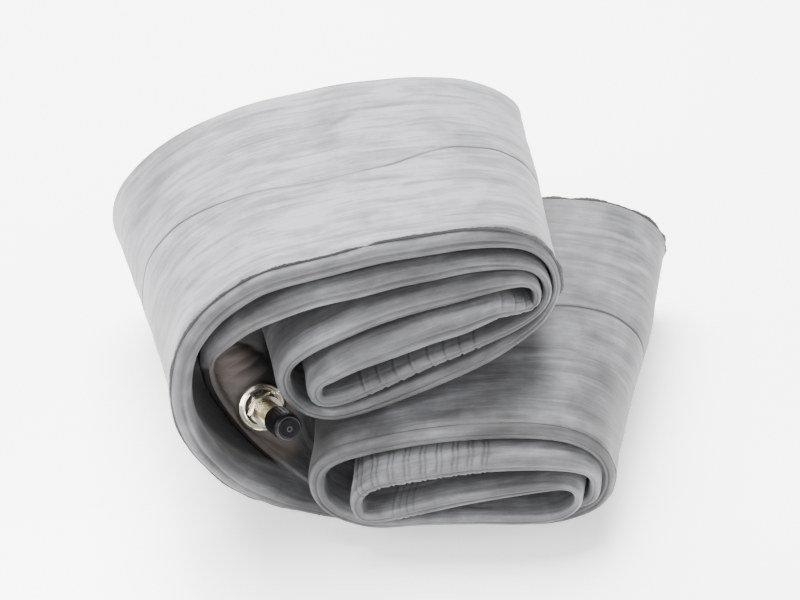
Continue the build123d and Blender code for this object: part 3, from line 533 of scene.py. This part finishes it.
# a painted dark shade line along the middle of each rim, in the crease; the same attribute also carries the real
# moulding seam line
seam_and_crease_shade = np.maximum(seam_and_crease_shade, is_rim * np.exp(-(phi_of / 0.055) ** 2) * np.clip(0.22 + 0.55 * fold + 0.25 * wave(PTS, 30, 25), 0, 0.8))
# painted shade deep inside the U bend: the inner wall goes dark away from the near rim
dust_and_lighting *= 1 - 0.88 * within(TT, (158, 168), 1.5) * is_minus * smooth((A - 11.0) / 2.6)
edge = 82.4 - 1.2 * smooth((A - 1) / 12.0) + 0.25 * np.sin(A * 0.42 + 1.0)
edge2 = 88.6 + 0.4 * np.sin(A * 0.2)
clean = smooth((TT - edge) / 0.45 + 0.5) * (1 - smooth((TT - edge2) / 0.7 + 0.5))
clean = clean * (1 - smooth((A - 82) / 16.0))
# the pocket round the valve, seen along the valve: where talc comes back, and
# painted shade where the wall falls away into the dark and deep in the pocket
EYE = np.array((0.00188, -0.40745, 0.38450)) / MM
ray = PTS - EYE
c50, s50 = math.cos(math.radians(50)), math.sin(math.radians(50))
depth = -(ray[..., 1] * -s50 + ray[..., 2] * c50)
gu = 400 + 1500 * ray[..., 0] / depth
gv = 300 - 1500 * (ray[..., 1] * c50 + ray[..., 2] * s50) / depth
# darker blotches on the top face, placed by where they fall in the camera's view
top_face = is_plus * ((TT < 20) | (TT > 160)) * (gv < 330)
for (cu, cv, ru, rv, amount) in ((325, 117, 24, 13, 0.26), (250, 128, 48, 10, 0.16), (160, 205, 34, 40, 0.16),
                                 (262, 212, 30, 12, 0.09), (205, 160, 30, 16, 0.12), (430, 100, 60, 9, 0.10),
                                 (180, 270, 16, 30, 0.10), (345, 190, 40, 8, 0.06)):
    dust_and_lighting = dust_and_lighting - amount * top_face * np.exp(-((gu - cu) / ru) ** 2 - ((gv - cv) / rv) ** 2)
low_talc = smooth(((gv - 452) + (gu - 290) * 0.42) / 14.0) * smooth((gu - 255) / 12.0)
# painted shade: a dark strip between the outer wall and the clean ramp
fall_shade = smooth(((gu - 238) - (gv - 345) * 0.50) / 9.0 + 0.5) * (1 - smooth((gv - 386) / 14.0))
clean = clean * (1 - 0.85 * low_talc)
dust_and_lighting = np.clip(dust_and_lighting, 0.05, 1.05) * (1 - 0.975 * clean)
# painted shade far back in the pocket round the valve
behind = smooth((TT - 70) / 0.5) * (1 - smooth((TT - 92) / 0.5))
hole = smooth((gu - 236) / 4.0) * (1 - smooth((gu - 275) / 4.0)) * smooth((gv - 322) / 4.0) * (1 - smooth((gv - 372) / 6.0))
pocket_shade = behind * hole * smooth((A - 16) / 10.0)
dust_and_lighting = dust_and_lighting * (1 - 0.95 * pocket_shade)
# where the clean rubber round the valve gets a painted brown sheen and lit tone; none in the painted shade strip and
# pocket, less on the rim
ramp_sheen = clean * np.where(is_plus, 1, 0) * (1 - 0.88 * fall_shade) * (1 - pocket_shade) * (1 - 0.55 * is_rim)

# distance round the loop and round the section, bent into circles so that the
# texture closes on itself without a seam
loop_mm = np.concatenate([[0], np.cumsum(np.linalg.norm(np.diff(near, axis=0), axis=1))])
loop_r = (loop_mm[-1] + 1.5) / (2 * math.pi)
ang = loop_mm / loop_r
round_mm = np.zeros_like(B)
for s, (name, j) in enumerate(kind):
    if name == "rim":
        round_mm[:, s] = tn * 0.485 * j
    elif name == "plus":
        round_mm[:, s] = tn * 0.76 + GRID[:, j]
    elif name == "minus":
        round_mm[:, s] = -(tn * 0.76 + GRID[:, j])
    else:
        round_mm[:, s] = tn * 0.76 + width + tf * 0.47 * (math.pi / 2 - j)
turn = round_mm / (2 * (width + tn)[:, None]) * 2 * math.pi
FLOW = np.stack([loop_r * np.cos(ang)[:, None] * np.ones_like(B), loop_r * np.sin(ang)[:, None] * np.ones_like(B),
                 40.0 * np.sin(turn)], -1)
FLOW_W = 40.0 * np.cos(turn)


def tube_mesh():
    verts = (PTS * MM).reshape(-1, 3)
    i = np.arange(K)
    j = np.arange(S)
    ii, jj = np.meshgrid(i, j, indexing="ij")
    a = ii * S + jj
    b = ii * S + (jj + 1) % S
    c = ((ii + 1) % K) * S + (jj + 1) % S
    d = ((ii + 1) % K) * S + jj
    faces = np.stack([a, d, c, b], -1).reshape(-1, 4)
    mesh = bpy.data.meshes.new("inner_tube")
    mesh.vertices.add(len(verts))
    mesh.vertices.foreach_set("co", verts.ravel())
    mesh.loops.add(faces.size)
    mesh.loops.foreach_set("vertex_index", faces.ravel().astype(np.int32))
    mesh.polygons.add(len(faces))
    mesh.polygons.foreach_set("loop_start", (np.arange(len(faces)) * 4).astype(np.int32))
    mesh.polygons.foreach_set("loop_total", np.full(len(faces), 4, np.int32))
    mesh.update(calc_edges=True)
    mesh.validate()
    for name, values in (("dust_and_lighting", dust_and_lighting), ("seam_and_crease_shade", seam_and_crease_shade), ("wrinkle_shade", wrinkle_shade), ("clean", clean), ("ramp_sheen", ramp_sheen)):
        layer = mesh.attributes.new(name, "FLOAT", "POINT")
        layer.data.foreach_set("value", np.clip(values, 0, 1).astype(np.float32).ravel())
    layer = mesh.attributes.new("flow", "FLOAT_VECTOR", "POINT")
    layer.data.foreach_set("vector", FLOW.astype(np.float32).ravel())
    layer = mesh.attributes.new("flow_w", "FLOAT", "POINT")
    layer.data.foreach_set("value", FLOW_W.astype(np.float32).ravel())
    mesh.polygons.foreach_set("use_smooth", np.ones(len(faces), bool))
    obj = bpy.data.objects.new("inner_tube", mesh)
    bpy.context.scene.collection.objects.link(obj)
    return obj


# ---- node helpers ----------------------------------------------------------
def material(name):
    m = bpy.data.materials.new(name)
    m.use_nodes = True
    nt = m.node_tree
    nt.nodes.clear()
    out = nt.nodes.new("ShaderNodeOutputMaterial")
    bsdf = nt.nodes.new("ShaderNodeBsdfPrincipled")
    nt.links.new(bsdf.outputs[0], out.inputs[0])
    return m, nt, bsdf


def node(nt, kind_, **values):
    n = nt.nodes.new(kind_)
    for k_, v in values.items():
        if hasattr(n, k_):
            setattr(n, k_, v)
        else:
            n.inputs[k_.replace("_", " ")].default_value = v
    return n


def coords(nt, scale=(1, 1, 1), rotate=(0, 0, 0)):
    tc = nt.nodes.new("ShaderNodeTexCoord")
    mp = nt.nodes.new("ShaderNodeMapping")
    mp.inputs["Scale"].default_value = scale
    mp.inputs["Rotation"].default_value = rotate
    nt.links.new(tc.outputs["Object"], mp.inputs["Vector"])
    return mp.outputs[0]


def noise_tex(nt, vec, scale, detail=4, rough=0.55, distort=0.0):
    n = nt.nodes.new("ShaderNodeTexNoise")
    n.inputs["Scale"].default_value = scale
    n.inputs["Detail"].default_value = detail
    n.inputs["Roughness"].default_value = rough
    n.inputs["Distortion"].default_value = distort
    nt.links.new(vec, n.inputs["Vector"])
    return n.outputs["Fac"]


def flow_noise(nt, along, across, detail=4, rough=0.55, distort=0.0):
    """Noise that follows the loop; along and across are feature rates per mm."""
    n = nt.nodes.new("ShaderNodeAttribute")
    n.attribute_name = "flow"
    mp = nt.nodes.new("ShaderNodeMapping")
    mp.inputs["Scale"].default_value = (along, along, across)
    nt.links.new(n.outputs["Vector"], mp.inputs["Vector"])
    w = math_n(nt, "MULTIPLY", attr(nt, "flow_w"), across)
    t = nt.nodes.new("ShaderNodeTexNoise")
    t.noise_dimensions = "4D"
    t.inputs["Scale"].default_value = 1.0
    t.inputs["Detail"].default_value = detail
    t.inputs["Roughness"].default_value = rough
    t.inputs["Distortion"].default_value = distort
    nt.links.new(mp.outputs[0], t.inputs["Vector"])
    nt.links.new(w, t.inputs["W"])
    return t.outputs["Fac"]


def attr(nt, name):
    n = nt.nodes.new("ShaderNodeAttribute")
    n.attribute_name = name
    return n.outputs["Fac"]


def math_n(nt, op, a, b=None, clamp=False):
    n = nt.nodes.new("ShaderNodeMath")
    n.operation = op
    n.use_clamp = clamp
    for i, v in enumerate((a, b)):
        if v is None:
            continue
        if isinstance(v, (int, float)):
            n.inputs[i].default_value = v
        else:
            nt.links.new(v, n.inputs[i])
    return n.outputs[0]


def remap(nt, v, a, b, c, d):
    n = nt.nodes.new("ShaderNodeMapRange")
    n.inputs["From Min"].default_value = a
    n.inputs["From Max"].default_value = b
    n.inputs["To Min"].default_value = c
    n.inputs["To Max"].default_value = d
    nt.links.new(v, n.inputs["Value"])
    return n.outputs["Result"]


def mix_rgb(nt, fac, c1, c2):
    n = nt.nodes.new("ShaderNodeMix")
    n.data_type = "RGBA"
    for sock, v in ((n.inputs[0], fac), (n.inputs[6], c1), (n.inputs[7], c2)):
        if isinstance(v, (int, float)):
            sock.default_value = v
        elif isinstance(v, tuple):
            sock.default_value = (*v, 1.0)
        else:
            nt.links.new(v, sock)
    return n.outputs[2]


def bump(nt, bsdf, height, strength, dist, under=None):
    n = nt.nodes.new("ShaderNodeBump")
    n.inputs["Strength"].default_value = strength
    n.inputs["Distance"].default_value = dist
    nt.links.new(height, n.inputs["Height"])
    if under is not None:
        nt.links.new(under, n.inputs["Normal"])
    if bsdf is not None:
        nt.links.new(n.outputs[0], bsdf.inputs["Normal"])
    return n.outputs[0]


def rubber_dusted_painted_light():
    m, nt, bsdf = material("dusted_rubber_painted_light")
    flat = coords(nt)
    smudge = noise_tex(nt, flat, 17, 4, 0.55, 0.9)
    cloud = noise_tex(nt, coords(nt, (0.6, 1.2, 0.6)), 46, 6, 0.66, 1.6)
    brush = flow_noise(nt, 0.030, 0.34, 5, 0.62, 0.5)
    bristle = flow_noise(nt, 0.055, 1.15, 4, 0.65, 0.25)
    patch = flow_noise(nt, 0.045, 0.085, 4, 0.6, 1.2)
    swirl = noise_tex(nt, coords(nt, (1.0, 0.28, 1.0), (0.0, 0.0, 0.7)), 120, 5, 0.7, 1.8)
    grain = noise_tex(nt, flat, 1500, 3, 0.6)
    d = attr(nt, "dust_and_lighting")
    v = math_n(nt, "MULTIPLY", remap(nt, smudge, 0.34, 0.66, 0.74, 1.16), remap(nt, cloud, 0.32, 0.68, 0.76, 1.18))
    v = math_n(nt, "MULTIPLY", v, remap(nt, brush, 0.30, 0.70, 0.38, 1.34))
    v = math_n(nt, "MULTIPLY", v, remap(nt, bristle, 0.30, 0.70, 0.80, 1.16))
    v = math_n(nt, "MULTIPLY", v, remap(nt, patch, 0.32, 0.68, 0.54, 1.24))
    v = math_n(nt, "MULTIPLY", v, remap(nt, swirl, 0.34, 0.72, 0.90, 1.14))
    v = math_n(nt, "MULTIPLY", v, remap(nt, grain, 0.3, 0.7, 0.93, 1.07))
    v = math_n(nt, "MULTIPLY", v, d)
    # darker along the moulding seam, and painted shade in the rim and wrinkle creases
    v = math_n(nt, "MULTIPLY", v, remap(nt, attr(nt, "seam_and_crease_shade"), 0.0, 0.7, 1.0, 0.04))
    v = math_n(nt, "MULTIPLY", v, remap(nt, attr(nt, "wrinkle_shade"), 0.0, 1.0, 1.0, 0.34))
    fac = math_n(nt, "MULTIPLY", v, 1.25, clamp=True)
    # bare clean black rubber; the second colour is a painted brown sheen and lit tone laid on the valve ramp
    bare = mix_rgb(nt, remap(nt, smudge, 0.35, 0.65, 0.0, 1.0), (0.011, 0.0108, 0.0112), (0.019, 0.017, 0.016))
    painted_sheen = mix_rgb(nt, remap(nt, cloud, 0.35, 0.65, 0.0, 1.0), (0.135, 0.124, 0.121), (0.225, 0.188, 0.168))
    bare_or_sheen = mix_rgb(nt, attr(nt, "ramp_sheen"), bare, painted_sheen)
    col = mix_rgb(nt, fac, bare_or_sheen, (0.152, 0.156, 0.166))
    nt.links.new(col, bsdf.inputs["Base Color"])
    nt.links.new(remap(nt, fac, 0.0, 0.75, 0.52, 0.62), bsdf.inputs["Roughness"])
    nt.links.new(remap(nt, attr(nt, "clean"), 0.0, 1.0, 0.42, 0.02), bsdf.inputs["Specular IOR Level"])
    nt.links.new(remap(nt, attr(nt, "clean"), 0.0, 1.0, 0.08, 0.0), bsdf.inputs["Sheen Weight"])
    b1 = bump(nt, None, grain, 0.25, 0.00012)
    b2 = bump(nt, None, bristle, 0.35, 0.00022, b1)
    bump(nt, bsdf, patch, 0.35, 0.0009, b2)
    return m


def rubber_black(name, base, rough, spec=0.5):
    m, nt, bsdf = material(name)
    flat = coords(nt)
    n1 = noise_tex(nt, flat, 500, 4)
    n2 = noise_tex(nt, flat, 60, 5)
    col = mix_rgb(nt, remap(nt, n2, 0.45, 0.75, 0.0, 0.22), base, (0.07, 0.07, 0.073))
    nt.links.new(col, bsdf.inputs["Base Color"])
    nt.links.new(remap(nt, n2, 0.3, 0.7, rough - 0.06, rough + 0.10), bsdf.inputs["Roughness"])
    bsdf.inputs["Specular IOR Level"].default_value = spec
    bump(nt, bsdf, n1, 0.3, 0.0001)
    return m


def metal(name, base, dark, rough, brush=1.0):
    m, nt, bsdf = material(name)
    flat = coords(nt)
    n1 = noise_tex(nt, flat, 900, 4, 0.6)
    n2 = noise_tex(nt, flat, 190, 5, 0.6, 0.5)
    col = mix_rgb(nt, remap(nt, n2, 0.42, 0.72, 0.0, 0.55), base, dark)
    nt.links.new(col, bsdf.inputs["Base Color"])
    bsdf.inputs["Metallic"].default_value = 1.0
    nt.links.new(remap(nt, n2, 0.3, 0.7, rough - 0.05, rough + 0.12), bsdf.inputs["Roughness"])
    bump(nt, bsdf, n1, 0.12 * brush, 0.00008)
    return m


tube = tube_mesh()
tube.data.materials.append(rubber_dusted_painted_light())
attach(tube, "tube")
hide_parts("tube_body")


# ---- torn mould flash ------------------------------------------------------
def ribbon(name, t0, t1, phi, where, low, high, ragged, thick, seed):
    """Thin torn lip of rubber that stands on the rim's shoulder."""
    rng = np.random.RandomState(seed)
    ts = np.arange(t0, t1, 0.045)
    n = len(ts)
    double = np.concatenate([T, T + COUNT, [2 * COUNT]])
    at = np.searchsorted(double, ts, side="right") - 1
    f = ((ts - double[at]) / (double[at + 1] - double[at]))[:, None]
    prev, nxt = at % K, (at + 1) % K
    # section column nearest to the rim angle
    angles = RIM if where == "rim" else FAR_RIM
    cols = [s for s, k_ in enumerate(kind) if k_[0] == where]
    col = cols[int(np.argmin(np.abs(angles - phi)))]
    base = PTS[prev, col] * (1 - f) + PTS[nxt, col] * f
    c2 = (col + 1) % S
    c0 = (col - 1) % S
    tang_sec = (PTS[prev, c2] - PTS[prev, c0])
    tang_sec /= np.linalg.norm(tang_sec, axis=1, keepdims=True)
    tang_loop = np.roll(base, -1, 0) - np.roll(base, 1, 0)
    tang_loop[0], tang_loop[-1] = base[1] - base[0], base[-1] - base[-2]
    tang_loop /= np.linalg.norm(tang_loop, axis=1, keepdims=True)
    up = np.cross(tang_sec, tang_loop)
    up /= np.linalg.norm(up, axis=1, keepdims=True)
    flip = np.sign(np.sum(up * (base - (near if where == "rim" else far)[prev]), axis=1))
    up *= flip[:, None]
    h = low + (high - low) * np.clip(
        0.5 + 0.5 * np.sin(np.arange(n) * 0.21 + 2 * np.sin(np.arange(n) * 0.053)) + rng.normal(0, ragged, n), 0, 1.3)
    for _ in range(1):
        h = (np.roll(h, 1) + 3 * h + np.roll(h, -1)) / 5
    ends = smooth(np.minimum(np.arange(n), np.arange(n)[::-1]) / 14.0)
    h = h * ends + 0.02
    side = rng.normal(0, 0.10, n)
    p0 = base - tang_sec * thick - up * 0.25
    p1 = base - tang_sec * thick * 0.7 + up * (h * 0.6)[:, None]
    p2 = base + tang_sec * side[:, None] + up * h[:, None]
    p3 = base + tang_sec * thick * 0.7 + up * (h * 0.6)[:, None]
    p4 = base + tang_sec * thick - up * 0.25
    rows_ = np.stack([p0, p1, p2, p3, p4], 1) * MM
    m5 = 5
    verts = [tuple(v) for v in rows_.reshape(-1, 3)]
    faces = []
    for i in range(n - 1):
        for j in range(m5):
            faces.append((i * m5 + j, i * m5 + (j + 1) % m5, (i + 1) * m5 + (j + 1) % m5, (i + 1) * m5 + j))
    faces.append(tuple(range(m5 - 1, -1, -1)))
    faces.append(tuple((n - 1) * m5 + j for j in range(m5)))
    mesh = bpy.data.meshes.new(name)
    mesh.from_pydata(verts, [], faces)
    mesh.validate()
    obj = bpy.data.objects.new(name, mesh)
    bpy.context.scene.collection.objects.link(obj)
    obj.data.materials.append(FLASH)
    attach(obj, "tube")
    return obj


FLASH = rubber_black("flash_rubber", (0.018, 0.018, 0.019), 0.5)
ribbon("flash_top_edge", 167.0, COUNT + 7.8, math.radians(62), "rim", 0.55, 1.05, 0.20, 0.36, 11)
ribbon("flash_top_right", 7.6, 16.2, math.radians(62), "rim", 0.75, 1.35, 0.20, 0.46, 15)
ribbon("flash_bend_edge", 157.5, 167.6, math.radians(62), "rim", 0.25, 0.50, 0.16, 0.26, 12)
ribbon("flash_lower_far_edge", 134.5, 153.0, math.radians(45), "far", 0.55, 1.25, 0.22, 0.40, 13)
ribbon("seam_lower_near_edge", 131.0, 153.5, math.radians(78), "rim", 0.05, 0.16, 0.08, 0.18, 14)

# ---- materials for the carried-over valve parts ----------------------------
nickel = metal("nickel_plate", (0.94, 0.90, 0.81), (0.55, 0.47, 0.34), 0.11)
brass = metal("brass_turned", (0.72, 0.60, 0.36), (0.40, 0.30, 0.14), 0.24)
steel = metal("spring_wire", (0.62, 0.62, 0.62), (0.40, 0.40, 0.40), 0.28)
cap_black = rubber_black("cap_moulded", (0.0022, 0.0022, 0.0026), 0.30, 0.10)
seal_black = rubber_black("seal_rubber", (0.02, 0.02, 0.02), 0.6)
patch_black = rubber_black("patch_rubber", (0.022, 0.020, 0.019), 0.42)
for name, mat in (("valve_base_patch", patch_black), ("valve_stem", brass), ("rim_washer", nickel),
                  ("rim_nut", nickel), ("valve_cap", cap_black), ("cap_seal", seal_black),
                  ("core_plug", brass), ("core_barrel", brass), ("core_gasket", seal_black),
                  ("core_pin", brass), ("core_cup_seal", seal_black), ("core_spring", steel)):
    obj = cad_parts[name]
    obj.data.materials.clear()
    obj.data.materials.append(mat)

# ---- moulded ring and pip on the end of the cap -----------------------------
def cap_ring(name, major, minor, sink):
    """Closed torus whose plane crosses the valve's axis at the cap's end face."""
    end = (VALVE + AXIS * (31.0 - sink)) * MM
    e1 = np.cross(AXIS, (0, 0, 1.0))
    e1 /= np.linalg.norm(e1)
    e2 = np.cross(AXIS, e1)
    verts, faces = [], []
    nu, nv = 64, 10
    for i in range(nu):
        a = 2 * math.pi * i / nu
        d = e1 * math.cos(a) + e2 * math.sin(a)
        for j in range(nv):
            b = 2 * math.pi * j / nv
            verts.append(tuple(end + (d * (major + minor * math.cos(b)) + AXIS * minor * math.sin(b)) * MM))
            faces.append((i * nv + j, ((i + 1) % nu) * nv + j, ((i + 1) % nu) * nv + (j + 1) % nv,
                          i * nv + (j + 1) % nv))
    mesh = bpy.data.meshes.new(name)
    mesh.from_pydata(verts, [], faces)
    mesh.validate()
    mesh.polygons.foreach_set("use_smooth", np.ones(len(faces), bool))
    obj = bpy.data.objects.new(name, mesh)
    bpy.context.scene.collection.objects.link(obj)
    obj.data.materials.append(CAP_RING_HIGHLIGHT)
    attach(obj, "cap")
    return obj


# the ring and pip get a lighter, glossier black than the cap: a painted highlight
CAP_RING_HIGHLIGHT = rubber_black("cap_ring_painted_highlight", (0.030, 0.030, 0.032), 0.42, 0.35)
cap_ring("cap_end_ring", 3.70, 0.17, 0.80)
cap_ring("cap_end_pip", 0.75, 0.22, 0.06)

# ---- floor, light, camera --------------------------------------------------
mesh = bpy.data.meshes.new("floor")
mesh.from_pydata([(-6, -6, 0), (6, -6, 0), (6, 6, 0), (-6, 6, 0)], [], [(0, 1, 2, 3)])
floor = bpy.data.objects.new("floor", mesh)
bpy.context.scene.collection.objects.link(floor)
fm, nt, bsdf = material("floor_white")
bsdf.inputs["Base Color"].default_value = (0.93, 0.93, 0.935, 1)
bsdf.inputs["Roughness"].default_value = 0.22
bsdf.inputs["Specular IOR Level"].default_value = 0.35
bsdf.inputs["Emission Color"].default_value = (1, 1, 1, 1)
bsdf.inputs["Emission Strength"].default_value = 0.60
floor.data.materials.append(fm)

world = bpy.data.worlds.new("studio")
world.use_nodes = True
bg = world.node_tree.nodes["Background"]
bg.inputs["Color"].default_value = (1.0, 1.0, 1.0, 1)
bg.inputs["Strength"].default_value = 0.70
bpy.context.scene.world = world


def area(name, at, aim, size, watts):
    data = bpy.data.lights.new(name, "AREA")
    data.shape = "RECTANGLE"
    data.size, data.size_y = size
    data.energy = watts
    obj = bpy.data.objects.new(name, data)
    obj.location = at
    d = np.array(aim, float) - np.array(at, float)
    d /= np.linalg.norm(d)
    from mathutils import Vector
    obj.rotation_euler = Vector(d).to_track_quat("-Z", "Y").to_euler()
    bpy.context.scene.collection.objects.link(obj)
    return obj


area("softbox_top", (-0.20, 0.45, 1.1), (0, 0, 0.05), (1.0, 0.9), 108)
area("softbox_left", (-0.9, -0.5, 0.7), (0, 0, 0.05), (0.5, 0.7), 14)
area("fill_front", (0.10, -1.05, 0.75), (0, 0, 0.05), (0.9, 0.5), 8)
area("softbox_right", (0.9, -0.3, 0.6), (0, 0, 0.05), (0.4, 0.6), 5)

cam_data = bpy.data.cameras.new("camera")
cam_data.sensor_width = 36.0
cam_data.lens = 67.5
cam = bpy.data.objects.new("camera", cam_data)
cam.location = (0.00188, -0.40745, 0.38450)
cam.rotation_euler = (math.radians(50), 0, 0)
bpy.context.scene.collection.objects.link(cam)
bpy.context.scene.camera = cam
